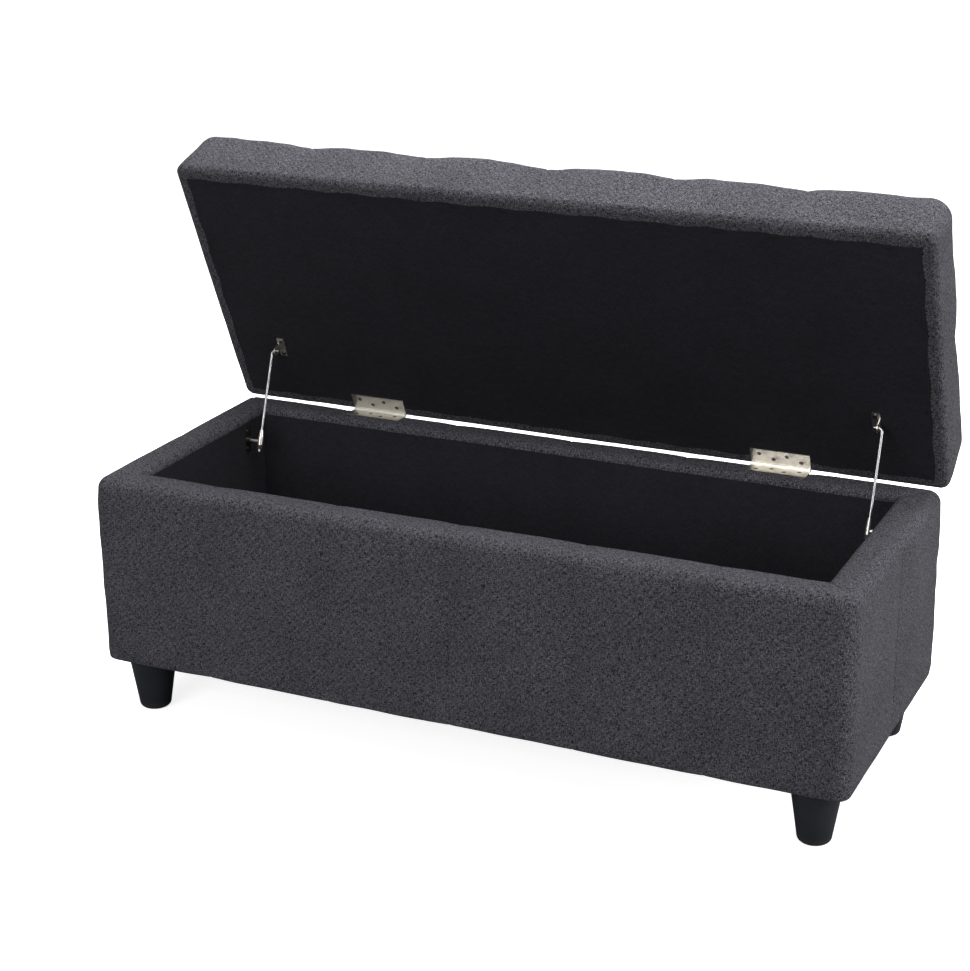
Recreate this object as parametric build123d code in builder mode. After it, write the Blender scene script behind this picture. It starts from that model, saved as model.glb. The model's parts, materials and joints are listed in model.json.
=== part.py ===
from build123d import *
import os
from math import asin, atan2, cos, degrees, hypot, radians, sin

# A storage bench: an upholstered box on four feet, with a thick padded lid
# that opens on two butt hinges and is steadied by a sliding rod stay at each end.
#
# Frame: millimetres, +X along the bench to its right end, +Y to its back, +Z up.
# The origin is on the floor, under the middle of the bench with its lid open,
# and the lid is drawn open, as it stands at rest.

# ---- overall sizes ----
width = 1120  # box, end to end over the fabric
depth = 445  # box, front to back
foot_height = 84.5
rim_height = 364  # top of the upholstered rim above the floor
lid_overhang = 7  # lid beyond the box at each end
lid_depth = 440
lid_thickness = 92
open_angle = 66  # lid open, measured from closed

# ---- upholstery ----
fabric = 1.5  # cover with its backing
wall_foam = 8
rim_foam = 14
box_corner_radius = 20
rim_outer_radius = 16
rim_inner_radius = 8
rim_width = 53  # outside of the box to the fabric on the rim's inner face
rim_turn_down = 34  # fabric folded down inside the box
hem = 12  # fabric folded under the box
lid_corner_radius = 26
lid_top_radius = 24
lid_bottom_radius = 12
lid_margin = 20  # fabric folded under the lid, up to its lining

# ---- timber ----
board = 12
base_thickness = 12
rail_height = 40
lid_board_inset = 13

# ---- lining ----
lining = 1.5
floor_lining = 3
lining_drop = 10  # lining's top edge below the rim
lining_clearance = 0.3

# ---- feet ----
foot_inset_x = 53
foot_inset_y = 47.5
foot_top_radius = 35.5
foot_low_radius = 23.5
foot_contact_radius = 15.5
foot_edge_radius = 8
bolt_radius = 4
bolt_in_foot = 36
insert_radius = 6
fit_clearance = 0.05

# ---- hinges ----
hinge_inset = 5.5  # pin's axis in from the back of the box
hinge_spacing = 648  # between the middles of the two hinges
lid_gap = 4  # rim to lid underside, closed
leaf_length = 89
leaf_width = 28
leaf_thickness = 1.5
knuckle_radius = 3
knuckle_count = 5
knuckle_gap = 0.3
pin_radius = 1.5
screw_radius = 1.75
screw_head_radius = 3.2
recess_width = 0.8
recess_depth = 0.8
screw_near = 12  # hinge axis to the nearer row
screw_far = 20
screw_spread = 62  # first to last screw of a leaf
leaf_screw_count = 4
box_screw_length = 25
lid_screw_length = 12

# ---- lid stays ----
stay_from_end = 78  # plane in which each rod swings, in from the end of the box
stay_reach = 108  # hinge axis to the rod's pivot, along the lid
stay_drop = 10  # pivot below the hinge axis, square to the lid
stay_closed_span = 30  # pivot to guide with the lid closed
rod_radius = 2
rod_bend_radius = 5
rod_hook = 12  # length of the bent end, from the rod's middle
ear_thickness = 1.5
ear_radius = 6.5
bracket_length = 34
bracket_width = 12
stay_screw_spread = 23
guide_radius = 4.2
guide_tip_radius = 2.9
guide_above = 18
guide_below = 5
guide_clearance = 0.3
trunnion_radius = 3
trunnion_play = 0.5
boss_radius = 5.5
boss_length = 7
plate_width = 14
plate_height = 42
plate_thickness = 1.5
plate_screw_spread = 28
pan_head_radius = 3.2
pan_head_height = 1.8
stop_radius = 4.5
stop_length = 6
stop_gap = 0.5
rod_tail = 4

# ---- staples ----
staple_crown = 10
staple_wire = 0.7
staple_pitch = 76
staple_edge = 5  # staple to the lining's edge

# ---- places worked out from the sizes ----
tilt = radians(open_angle)
half_width = width / 2
stay_x = half_width - stay_from_end
lid_width = width + 2 * lid_overhang
lid_top = lid_gap / 2 + lid_thickness  # above the hinge axis, square to the lid
lean_back = (
    (hinge_inset - lid_top_radius) * cos(tilt)
    + (lid_top - lid_top_radius) * sin(tilt)
    + lid_top_radius
    - hinge_inset
)
middle_y = -lean_back / 2
front_y = middle_y - depth / 2
back_y = middle_y + depth / 2
hinge_y = back_y - hinge_inset
hinge_z = rim_height + lid_gap / 2
hinge_xs = (-hinge_spacing / 2, hinge_spacing / 2)
sides = (("left", -1), ("right", 1))
ends = (("front", front_y, 1), ("back", back_y, -1))

# layers of the box wall, each as a distance in from the outside
foam_in = fabric + wall_foam
board_in = foam_in + board
rail_in = rim_width - fabric
lining_in = rim_width + lining
deck_z = foot_height + fabric
base_top = deck_z + base_thickness
rail_top = rim_height - fabric - rim_foam

# the lid's own frame: the hinge axis, with local Y to the lid's back edge and local Z
# through its thickness, turned open
lid_frame = Plane(origin=(0, hinge_y, hinge_z), x_dir=(1, 0, 0), z_dir=(0, sin(tilt), cos(tilt)))
lid_mid_y = hinge_inset - lid_depth / 2

# the stays: rod pivot and guide lie equally far from the hinge axis, so that the rod
# and its guide turn through exactly half of the lid's angle
stay_radius = hypot(stay_reach, stay_drop)
pivot_angle = degrees(atan2(stay_drop, stay_reach))
guide_angle = pivot_angle + degrees(2 * asin(stay_closed_span / 2 / stay_radius))
guide_y = hinge_y - stay_radius * cos(radians(guide_angle))
guide_z = hinge_z - stay_radius * sin(radians(guide_angle))
pivot = lid_frame.from_local_coords(Vector(0, -stay_reach, -stay_drop))
open_span = hypot(pivot.Y - guide_y, pivot.Z - guide_z)
rod_down = Vector(0, guide_y - pivot.Y, guide_z - pivot.Z).normalized()
stop_start = open_span + guide_below + stop_gap
rod_length = stop_start + stop_length + rod_tail

os.makedirs("parts", exist_ok=True)


def save(piece, name):
    piece.part.label = name
    export_step(piece.part, f"parts/{name}.step")


def between(low, high):
    """A block from its lowest corner to its highest."""
    size = Vector(*high) - Vector(*low)
    with BuildPart() as block:
        with Locations((Vector(*low) + Vector(*high)) * 0.5):
            Box(size.X, size.Y, size.Z)
    return block


def mirrored(side, low, high):
    """The same, for a block given on the right, at the end that side names."""
    xs = sorted((side * low[0], side * high[0]))
    return between((xs[0], *low[1:]), (xs[1], *high[1:]))


def cut_out(shape, low, high):
    """The part of a shape that lies inside a block."""
    block = between(low, high)
    with BuildPart() as piece:
        add(shape.part)
        add(block.part, mode=Mode.INTERSECT)
    return piece


def drilled(piece, places, radius, depth):
    with BuildPart() as holed:
        add(piece.part)
        with Locations(*places):
            Hole(radius, depth)
    return holed


def box_shape(inset, low):
    """The upholstered box with its open middle, from a height up, shrunk all over by inset."""
    floor = Plane((0, middle_y, low))
    with BuildPart() as shape:
        with BuildSketch(floor):
            RectangleRounded(width - 2 * inset, depth - 2 * inset, box_corner_radius - inset)
        extrude(amount=rim_height - inset - low)
        fillet(shape.faces().sort_by(Axis.Z)[-1].edges(), rim_outer_radius - inset)
        with BuildSketch(floor):
            Rectangle(width - 2 * (rim_width - inset), depth - 2 * (rim_width - inset))
        extrude(amount=rim_height - inset - low, mode=Mode.SUBTRACT)
        fillet(shape.faces().sort_by(Axis.Z)[-1].inner_wires()[0].edges(), rim_inner_radius - inset)
    return shape


def lid_shape(inset):
    """The upholstered lid, open, shrunk all over by inset."""
    through = Axis(lid_frame.origin, lid_frame.z_dir)
    with BuildPart() as shape:
        with BuildSketch(lid_frame.offset(lid_gap / 2 + inset)):
            with Locations((0, lid_mid_y)):
                RectangleRounded(lid_width - 2 * inset, lid_depth - 2 * inset, lid_corner_radius - inset)
        extrude(amount=lid_thickness - 2 * inset)
        fillet(shape.faces().sort_by(through)[-1].edges(), lid_top_radius - inset)
        fillet(shape.faces().sort_by(through)[0].edges(), lid_bottom_radius - inset)
    return shape


def lid_panel(inset, low, thickness):
    """A flat panel in the lid, inset from the lid's edges."""
    with BuildPart() as panel:
        with BuildSketch(lid_frame.offset(low)):
            with Locations((0, lid_mid_y)):
                RectangleRounded(lid_width - 2 * inset, lid_depth - 2 * inset, lid_corner_radius - inset)
        extrude(amount=thickness)
    return panel


def screw_rows(leaf_face):
    """Places of the screws of both hinges, in two staggered rows forward of the hinge axis."""
    step = screw_spread / (leaf_screw_count - 1)
    places = []
    for hinge_x in hinge_xs:
        for number in range(leaf_screw_count):
            row = screw_far if number % 2 == 0 else screw_near
            point = (hinge_x - screw_spread / 2 + number * step, -row, 0)
            place = leaf_face.from_local_coords(Vector(*point))
            places.append(Plane(place, x_dir=(1, 0, 0), z_dir=leaf_face.z_dir).location)
    return places


def turned_over(places):
    return [Plane(place).rotated((180, 0, 0)).location for place in places]


def flat_screws(places, length):
    """Countersunk screws, their cross-recessed heads flush with the places given."""
    head = screw_head_radius - screw_radius
    with BuildPart() as screws:
        with Locations(*places):
            Cone(screw_radius, screw_head_radius, head, align=(Align.CENTER, Align.CENTER, Align.MAX))
            Cylinder(screw_radius, length, align=(Align.CENTER, Align.CENTER, Align.MAX))
            for turn in (0, 90):
                Box(
                    2 * screw_radius,
                    recess_width,
                    2 * recess_depth,
                    rotation=(0, 0, turn),
                    mode=Mode.SUBTRACT,
                )
    return screws


def pan_screws(places, length):
    """Screws whose raised, cross-recessed heads sit on the places given."""
    with BuildPart() as screws:
        with Locations(*places):
            Cylinder(pan_head_radius, pan_head_height, align=(Align.CENTER, Align.CENTER, Align.MIN))
            Cylinder(screw_radius, length, align=(Align.CENTER, Align.CENTER, Align.MAX))
        with Locations(*[Location(place) * Pos(0, 0, pan_head_height) for place in places]):
            for turn in (0, 90):
                Box(
                    2 * screw_radius,
                    recess_width,
                    2 * recess_depth,
                    rotation=(0, 0, turn),
                    mode=Mode.SUBTRACT,
                )
    return screws


# ---- places of the fasteners ----
rim_leaf_face = Plane((0, hinge_y, rim_height + leaf_thickness))
lid_leaf_face = Plane(
    lid_frame.from_local_coords(Vector(0, 0, lid_gap / 2 - leaf_thickness)),
    x_dir=(1, 0, 0),
    z_dir=lid_frame.z_dir,
)
rim_screw_places = screw_rows(rim_leaf_face)
lid_screw_places = turned_over(screw_rows(lid_leaf_face))
stay_frame = Plane((0, guide_y, guide_z), x_dir=(1, 0, 0), z_dir=-rod_down)
plate_face = half_width - lining_in - plate_thickness
ear_face = stay_x - rod_bend_radius - ear_thickness / 2
bracket_mid = ear_face - bracket_width / 2 - ear_thickness / 2
lid_bracket_places = {}
wall_plate_places = {}
for side_name, side in sides:
    lid_bracket_places[side_name] = turned_over(
        Plane(
            lid_leaf_face.from_local_coords(Vector(side * bracket_mid, shift - stay_reach, 0)),
            x_dir=(1, 0, 0),
            z_dir=lid_frame.z_dir,
        ).location
        for shift in (-stay_screw_spread / 2, stay_screw_spread / 2)
    )
    wall_plate_places[side_name] = [
        Plane((side * plate_face, guide_y, guide_z + shift), z_dir=(-side, 0, 0)).location
        for shift in (-plate_screw_spread / 2, plate_screw_spread / 2)
    ]
foot_places = {
    f"{end_name}_{side_name}": (side * (half_width - foot_inset_x), end_y + inward * foot_inset_y)
    for end_name, end_y, inward in ends
    for side_name, side in sides
}
foot_spots = list(foot_places.values())
rim_screw_depth = box_screw_length
stay_screw_depth = box_screw_length - lid_screw_length + plate_thickness

# ---- box: timber ----
half_inner = half_width - board_in
for end_name, end_y, inward in ends:
    near, far = sorted((end_y + inward * foam_in, end_y + inward * board_in))
    wall = between(
        (-half_width + foam_in, near, deck_z),
        (half_width - foam_in, far, rail_top),
    )
    near, far = sorted((end_y + inward * board_in, end_y + inward * rail_in))
    rail = between(
        (-half_width + rail_in, near, rail_top - rail_height),
        (half_width - rail_in, far, rail_top),
    )
    if end_name == "back":
        wall = drilled(wall, rim_screw_places, screw_radius, rim_screw_depth)
        rail = drilled(rail, rim_screw_places, screw_radius, rim_screw_depth)
    save(wall, f"{end_name}_board")
    save(rail, f"{end_name}_rail")
    for side_name, side in sides:
        post = mirrored(side, (half_width - rail_in, near, base_top), (half_inner, far, rail_top))
        save(post, f"corner_post_{end_name}_{side_name}")

for side_name, side in sides:
    wall = mirrored(
        side,
        (half_inner, front_y + board_in, deck_z),
        (half_width - foam_in, back_y - board_in, rail_top),
    )
    rail = mirrored(
        side,
        (half_width - rail_in, front_y + rail_in, rail_top - rail_height),
        (half_inner, back_y - rail_in, rail_top),
    )
    rail = drilled(rail, wall_plate_places[side_name], screw_radius, stay_screw_depth)
    save(wall, f"{side_name}_board")
    save(rail, f"{side_name}_rail")

with BuildPart() as base_board:
    with BuildSketch(Plane.XY.offset(deck_z)):
        with Locations((0, middle_y)):
            Rectangle(width - 2 * board_in, depth - 2 * board_in)
        with Locations(*foot_spots):
            Circle(insert_radius, mode=Mode.SUBTRACT)
    extrude(amount=base_thickness)
save(base_board, "base_board")

# ---- box: padding, each layer in four pieces ----
padding = box_shape(fabric, deck_z)
with BuildPart() as wall_padding:
    add(cut_out(padding, (-width, -depth - lean_back, 0), (width, depth + lean_back, rail_top)).part)
    with BuildSketch(Plane((0, middle_y, deck_z))):
        Rectangle(width - 2 * foam_in, depth - 2 * foam_in)
    extrude(amount=rail_top - deck_z, mode=Mode.SUBTRACT)
for end_name, end_y, inward in ends:
    near, far = sorted((end_y, end_y + inward * foam_in))
    save(cut_out(wall_padding, (-width, near, 0), (width, far, rail_top)), f"{end_name}_pad")
    near, far = sorted((end_y, end_y + inward * rail_in))
    rim_pad = cut_out(padding, (-width, near, rail_top), (width, far, rim_height))
    if end_name == "back":
        rim_pad = drilled(rim_pad, rim_screw_places, screw_radius, rim_screw_depth)
    save(rim_pad, f"{end_name}_rim_pad")
for side_name, side in sides:
    end_pad = cut_out(
        wall_padding,
        (min(0, side * width), front_y + foam_in, 0),
        (max(0, side * width), back_y - foam_in, rail_top),
    )
    rim_pad = cut_out(
        padding,
        (min(0, side * width), front_y + rail_in, rail_top),
        (max(0, side * width), back_y - rail_in, rim_height),
    )
    save(end_pad, f"{side_name}_pad")
    save(rim_pad, f"{side_name}_rim_pad")

# ---- box: cover, linings and dust cover ----
with BuildPart() as box_cover:
    add(box_shape(0, foot_height).part)
    add(padding.part, mode=Mode.SUBTRACT)
    with BuildSketch(Plane((0, middle_y, foot_height))):
        Rectangle(width - 2 * hem, depth - 2 * hem)
    extrude(amount=fabric, mode=Mode.SUBTRACT)
    with BuildSketch(Plane((0, middle_y, foot_height))):
        Rectangle(width - 2 * rail_in, depth - 2 * rail_in)
    extrude(amount=rim_height - rim_turn_down - foot_height, mode=Mode.SUBTRACT)
    with Locations(*rim_screw_places):
        Hole(screw_radius, rim_screw_depth)
    for places in wall_plate_places.values():
        with Locations(*places):
            Hole(screw_radius, stay_screw_depth)
save(box_cover, "box_cover")

lining_top = rim_height - lining_drop
for end_name, end_y, inward in ends:
    near, far = sorted((end_y + inward * rim_width, end_y + inward * lining_in))
    panel = between((-half_width + rim_width, near, base_top), (half_width - rim_width, far, lining_top))
    save(panel, f"{end_name}_lining")
for side_name, side in sides:
    panel = mirrored(
        side,
        (half_width - lining_in, front_y + lining_in, base_top),
        (half_width - rim_width, back_y - lining_in, lining_top),
    )
    panel = drilled(panel, wall_plate_places[side_name], screw_radius, stay_screw_depth)
    save(panel, f"{side_name}_lining")

floor_inset = lining_in + lining_clearance
floor_panel = between(
    (-half_width + floor_inset, front_y + floor_inset, base_top),
    (half_width - floor_inset, back_y - floor_inset, base_top + floor_lining),
)
save(floor_panel, "floor_lining")

with BuildPart() as dust_cover:
    with BuildSketch(Plane.XY.offset(foot_height)):
        with Locations((0, middle_y)):
            Rectangle(width - 2 * (hem + lining_clearance), depth - 2 * (hem + lining_clearance))
        with Locations(*foot_spots):
            Circle(bolt_radius + lining_clearance, mode=Mode.SUBTRACT)
    extrude(amount=fabric)
save(dust_cover, "dust_cover")

# ---- feet ----
for foot_name, (foot_x, foot_y) in foot_places.items():
    section = Plane((foot_x, foot_y, 0), x_dir=(1, 0, 0), z_dir=(0, -1, 0))
    with BuildPart() as foot:
        with BuildSketch(section):
            with BuildLine():
                sole = Line((0, 0), (foot_contact_radius, 0))
                heel = RadiusArc(sole @ 1, (foot_low_radius, foot_edge_radius), -foot_edge_radius)
                Polyline(heel @ 1, (foot_top_radius, foot_height), (0, foot_height), (0, 0))
            make_face()
        revolve(axis=Axis((foot_x, foot_y, 0), (0, 0, 1)))
        with Locations((foot_x, foot_y, foot_height)):
            Hole(bolt_radius + fit_clearance, bolt_in_foot)
    save(foot, f"foot_{foot_name}")

with BuildPart() as foot_bolts:
    with BuildSketch(Plane.XY.offset(foot_height - bolt_in_foot)):
        with Locations(*foot_spots):
            Circle(bolt_radius)
    extrude(amount=base_top - foot_height + bolt_in_foot)
save(foot_bolts, "foot_bolts")

with BuildPart() as foot_inserts:
    with BuildSketch(Plane.XY.offset(deck_z)):
        with Locations(*foot_spots):
            Circle(insert_radius)
            Circle(bolt_radius + fit_clearance, mode=Mode.SUBTRACT)
    extrude(amount=base_thickness)
save(foot_inserts, "foot_inserts")

# ---- lid ----
lid_core = lid_shape(fabric)
board_low = lid_gap / 2 + fabric
lid_fixings = lid_screw_places + lid_bracket_places["left"] + lid_bracket_places["right"]
lid_board = drilled(
    lid_panel(lid_board_inset, board_low, board), lid_fixings, screw_radius, lid_screw_length
)
save(lid_board, "lid_board")

with BuildPart() as lid_foam:
    add(lid_core.part)
    add(lid_panel(lid_board_inset, board_low, board).part, mode=Mode.SUBTRACT)
save(lid_foam, "lid_foam")

with BuildPart() as lid_cover:
    add(lid_shape(0).part)
    add(lid_core.part, mode=Mode.SUBTRACT)
    add(lid_panel(lid_margin, lid_gap / 2, fabric).part, mode=Mode.SUBTRACT)
    with Locations(*lid_screw_places):
        Hole(screw_radius, lid_screw_length)
save(lid_cover, "lid_cover")

lid_lining = drilled(
    lid_panel(lid_margin + lining_clearance, lid_gap / 2, fabric),
    lid_fixings,
    screw_radius,
    lid_screw_length,
)
save(lid_lining, "lid_lining")

staple_line = lid_margin + staple_edge
staple_span_x = lid_width - 2 * staple_line
staple_span_y = lid_depth - 2 * staple_line
count_x = int(staple_span_x // staple_pitch)
count_y = int(staple_span_y // staple_pitch)
staple_xs = [(number + 0.5 - count_x / 2) * staple_span_x / count_x for number in range(count_x)]
clear_of_hinges = [
    x for x in staple_xs if min(abs(x - hinge_x) for hinge_x in hinge_xs) > leaf_length / 2 + staple_crown
]
with BuildPart() as lid_staples:
    with BuildSketch(lid_frame.offset(lid_gap / 2 - staple_wire)):
        with Locations(*[(x, lid_mid_y - staple_span_y / 2) for x in staple_xs]):
            Rectangle(staple_crown, staple_wire)
        with Locations(*[(x, lid_mid_y + staple_span_y / 2) for x in clear_of_hinges]):
            Rectangle(staple_crown, staple_wire)
        with Locations((0, lid_mid_y)):
            with GridLocations(staple_span_x, staple_span_y / count_y, 2, count_y):
                Rectangle(staple_wire, staple_crown)
    extrude(amount=staple_wire)
save(lid_staples, "lid_staples")

# ---- hinges ----
knuckle_length = leaf_length / knuckle_count


def hinge_leaf(hinge_x, underside, own, other, places):
    """A leaf with its own knuckles, notched round the other leaf's, bored for the pin."""
    with BuildPart() as leaf:
        with BuildSketch(underside):
            with Locations((hinge_x, -leaf_width / 2)):
                Rectangle(leaf_length, leaf_width)
        extrude(amount=leaf_thickness)
        for number in other:
            knuckle_x = hinge_x + (number + 0.5) * knuckle_length - leaf_length / 2
            with Locations((knuckle_x, hinge_y, hinge_z)):
                Cylinder(
                    knuckle_radius + knuckle_gap,
                    knuckle_length + knuckle_gap,
                    rotation=(0, 90, 0),
                    mode=Mode.SUBTRACT,
                )
        for number in own:
            knuckle_x = hinge_x + (number + 0.5) * knuckle_length - leaf_length / 2
            with Locations((knuckle_x, hinge_y, hinge_z)):
                Cylinder(knuckle_radius, knuckle_length - knuckle_gap, rotation=(0, 90, 0))
        with Locations((hinge_x, hinge_y, hinge_z)):
            Cylinder(pin_radius + fit_clearance, leaf_length, rotation=(0, 90, 0), mode=Mode.SUBTRACT)
        with Locations(*places):
            CounterSinkHole(screw_radius, screw_head_radius, leaf_thickness)
    return leaf


rim_leaf_underside = Plane((0, hinge_y, hinge_z)).offset(-lid_gap / 2)
lid_leaf_underside = lid_frame.offset(lid_gap / 2 - leaf_thickness)
for number, hinge_x in enumerate(hinge_xs):
    side_name = sides[number][0]
    first = number * leaf_screw_count
    rim_places = rim_screw_places[first : first + leaf_screw_count]
    lid_places = lid_screw_places[first : first + leaf_screw_count]
    rim_leaf = hinge_leaf(hinge_x, rim_leaf_underside, (0, 2, 4), (1, 3), rim_places)
    lid_leaf = hinge_leaf(hinge_x, lid_leaf_underside, (1, 3), (0, 2, 4), lid_places)
    with BuildPart() as pin:
        with Locations((hinge_x, hinge_y, hinge_z)):
            Cylinder(pin_radius, leaf_length, rotation=(0, 90, 0))
    save(rim_leaf, f"hinge_box_leaf_{side_name}")
    save(lid_leaf, f"hinge_lid_leaf_{side_name}")
    save(pin, f"hinge_pin_{side_name}")

save(flat_screws(rim_screw_places, box_screw_length), "hinge_box_screws")
save(flat_screws(lid_screw_places, lid_screw_length), "hinge_lid_screws")

# ---- lid stays ----
for side_name, side in sides:
    ear_x = side * ear_face
    with BuildPart() as lid_bracket:
        with BuildSketch(lid_frame.offset(lid_gap / 2 - ear_thickness)):
            with Locations((side * (ear_face - bracket_width / 2), -stay_reach)):
                RectangleRounded(bracket_width, bracket_length, ear_thickness)
        extrude(amount=ear_thickness)
        ear_start = lid_frame.from_local_coords(Vector(ear_x, 0, 0))
        with BuildSketch(Plane(ear_start, x_dir=lid_frame.y_dir, z_dir=(1, 0, 0))):
            with Locations((-stay_reach, -stay_drop)):
                Circle(ear_radius)
            with Locations((-stay_reach, (lid_gap / 2 - stay_drop) / 2)):
                Rectangle(2 * ear_radius, stay_drop + lid_gap / 2)
            with Locations((-stay_reach, -stay_drop)):
                Circle(rod_radius + fit_clearance, mode=Mode.SUBTRACT)
        extrude(amount=-side * ear_thickness)
        with Locations(*lid_bracket_places[side_name]):
            Hole(screw_radius, ear_thickness)
    save(lid_bracket, f"stay_lid_bracket_{side_name}")

    rod_plane = Vector(side * stay_x, pivot.Y, pivot.Z)
    with BuildPart() as rod:
        with BuildLine():
            FilletPolyline(
                rod_plane - Vector(side * rod_hook, 0, 0),
                rod_plane,
                rod_plane + rod_down * rod_length,
                radius=rod_bend_radius,
            )
        with BuildSketch(Plane(rod_plane - Vector(side * rod_hook, 0, 0), z_dir=(side, 0, 0))):
            Circle(rod_radius)
        sweep()
    save(rod, f"stay_rod_{side_name}")

    with BuildPart() as stop:
        with BuildSketch(Plane(rod_plane + rod_down * stop_start, z_dir=rod_down)):
            Circle(stop_radius)
            Circle(rod_radius, mode=Mode.SUBTRACT)
        extrude(amount=stop_length)
    save(stop, f"stay_stop_{side_name}")

    guide_middle = (side * stay_x, guide_y, guide_z)
    bore = rod_radius + guide_clearance
    trunnion_start = (bore + guide_tip_radius) / 2
    trunnion_end = half_width - lining_in - stay_x - trunnion_play
    with BuildPart() as guide:
        with BuildSketch(Plane(guide_middle, x_dir=(1, 0, 0), z_dir=-stay_frame.y_dir)):
            with BuildLine():
                Polyline(
                    (bore, guide_above),
                    (bore, -guide_below),
                    (guide_radius, -guide_below),
                    (guide_radius, guide_below),
                    (guide_tip_radius, guide_above),
                    (bore, guide_above),
                )
            make_face()
        revolve(axis=Axis(guide_middle, stay_frame.z_dir))
        with Locations((side * (stay_x + (trunnion_start + trunnion_end) / 2), guide_y, guide_z)):
            Cylinder(trunnion_radius, trunnion_end - trunnion_start, rotation=(0, 90, 0))
    save(guide, f"stay_guide_{side_name}")

    with BuildPart() as wall_bracket:
        with BuildSketch(Plane((side * plate_face, guide_y, guide_z), x_dir=(0, 1, 0), z_dir=(side, 0, 0))):
            RectangleRounded(plate_width, plate_height, plate_width / 4)
        extrude(amount=plate_thickness)
        with Locations((side * (plate_face - boss_length / 2), guide_y, guide_z)):
            Cylinder(boss_radius, boss_length, rotation=(0, 90, 0))
        boss_end = Plane((side * (plate_face - boss_length), guide_y, guide_z), z_dir=(-side, 0, 0))
        with Locations(boss_end.location):
            Hole(trunnion_radius + fit_clearance, boss_length + plate_thickness)
        with Locations(*wall_plate_places[side_name]):
            Hole(screw_radius, plate_thickness)
    save(wall_bracket, f"stay_wall_bracket_{side_name}")

box_stay_places = wall_plate_places["left"] + wall_plate_places["right"]
lid_stay_places = lid_bracket_places["left"] + lid_bracket_places["right"]
save(pan_screws(box_stay_places, stay_screw_depth), "stay_box_screws")
save(pan_screws(lid_stay_places, lid_screw_length), "stay_lid_screws")
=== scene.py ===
"""Looks of the storage bench: soft upholstery, cloth linings, plated hardware and a white studio.

Metres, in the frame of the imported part. Places come from the part's own nodes and joints.
"""
import json
import math

import bmesh
import bpy
import numpy as np
from mathutils import Matrix, Vector


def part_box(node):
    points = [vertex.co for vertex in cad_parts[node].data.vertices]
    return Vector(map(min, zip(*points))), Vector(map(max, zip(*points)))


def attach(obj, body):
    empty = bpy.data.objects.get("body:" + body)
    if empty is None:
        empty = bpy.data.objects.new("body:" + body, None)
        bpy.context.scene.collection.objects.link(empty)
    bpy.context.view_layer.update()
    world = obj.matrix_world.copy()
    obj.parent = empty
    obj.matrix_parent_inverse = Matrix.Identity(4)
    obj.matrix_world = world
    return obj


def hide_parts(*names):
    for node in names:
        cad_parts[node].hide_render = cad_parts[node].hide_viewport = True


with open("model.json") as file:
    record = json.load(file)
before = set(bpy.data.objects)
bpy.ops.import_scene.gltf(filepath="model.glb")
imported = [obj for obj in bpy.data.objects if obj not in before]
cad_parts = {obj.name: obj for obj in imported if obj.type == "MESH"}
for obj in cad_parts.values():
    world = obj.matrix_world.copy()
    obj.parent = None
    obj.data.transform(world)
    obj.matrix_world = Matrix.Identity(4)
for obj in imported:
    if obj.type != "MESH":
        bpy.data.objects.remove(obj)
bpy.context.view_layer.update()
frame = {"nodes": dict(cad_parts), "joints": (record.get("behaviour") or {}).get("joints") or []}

# ---- sizes that the upholstery shares with the part ----
BOX_CORNER = 0.020
RIM_WIDTH = 0.053
TURN_DOWN = 0.034
HEM = 0.012
LID_MARGIN = 0.020
LINING = 0.0015
SEAMS = (-0.380, -0.189, 0.0, 0.183, 0.368)
LID_SEAMS = (-0.374, -0.187, 0.0, 0.187, 0.374)

# ---- sizes of the upholstery alone ----
RIM_INNER_ROUND = 0.009
RIM_OUTER_ROUND = 0.015
RIM_ROWS = 20  # rows of the box's profile before its outer wall
HEM_ROUND = 0.004
END_SEAM = 0.004  # the seam down each end, behind the middle of the box
LID_BLOCK = 0.030  # lid's corner block, with its widest corner radius
LID_TOP_ROUND = 0.020
LID_BOTTOM_ROUND = 0.009
LID_CORNER_LOW = 0.014
LID_CORNER_GROWTH = 0.016
STAPLE_PITCH = 0.077

lid_joint = next(j for j in frame["joints"] if j["name"] == "lid_hinge")
hinge = np.array(lid_joint["pos_m"])
tilt = math.radians(lid_joint["range_deg"][1])
lid_x = np.array((1.0, 0.0, 0.0))
lid_y = np.array((0.0, math.cos(tilt), -math.sin(tilt)))
lid_z = np.array((0.0, math.sin(tilt), math.cos(tilt)))


def lid_place(local):
    """Row-frame points of points in the lid's own frame: y to its back edge, z through it."""
    local = np.asarray(local, float)
    return hinge + local[..., :1] * lid_x + local[..., 1:2] * lid_y + local[..., 2:3] * lid_z


def lid_local(points):
    """The reverse of lid_place."""
    rel = np.asarray(points, float) - hinge
    return np.stack([rel @ lid_x, rel @ lid_y, rel @ lid_z], -1)


# ---- numbers and noise ----
def ripple(points, size, seed, stretch=(1.0, 1.0, 1.0)):
    """Smooth, seeded unevenness, mostly between -1 and 1, with waves about that size."""
    rng = np.random.default_rng(seed)
    total = np.zeros(points.shape[:-1])
    scaled = points * np.array(stretch)
    for _ in range(16):
        way = rng.normal(size=3)
        way /= np.linalg.norm(way)
        rate = 2 * math.pi / size * rng.uniform(0.6, 1.7)
        total += np.sin(scaled @ way * rate + rng.uniform(0, 2 * math.pi))
    return total / 5.0


def smooth(t):
    """An even rise from 0 to 1."""
    t = np.clip(t, 0, 1)
    return t * t * (3 - 2 * t)


def stations(start, end, seams, fine=0.0011, coarse=0.006):
    """Places from start to end, close together next to the seams."""
    places = [start]
    while places[-1] < end - fine:
        gap = min((abs(places[-1] - s) for s in seams), default=1.0)
        places.append(places[-1] + fine + (coarse - fine) * min(1.0, gap / 0.022))
    places = np.array(places)
    return start + (places - start) * (end - start) / (places[-1] - start)


def arc(centre, radius, first, last, count):
    """Points of an arc, as (inset, height), without its first point."""
    turn = np.radians(np.linspace(first, last, count + 1))[1:]
    return [(centre[0] + radius * math.cos(t), centre[1] + radius * math.sin(t)) for t in turn]


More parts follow.
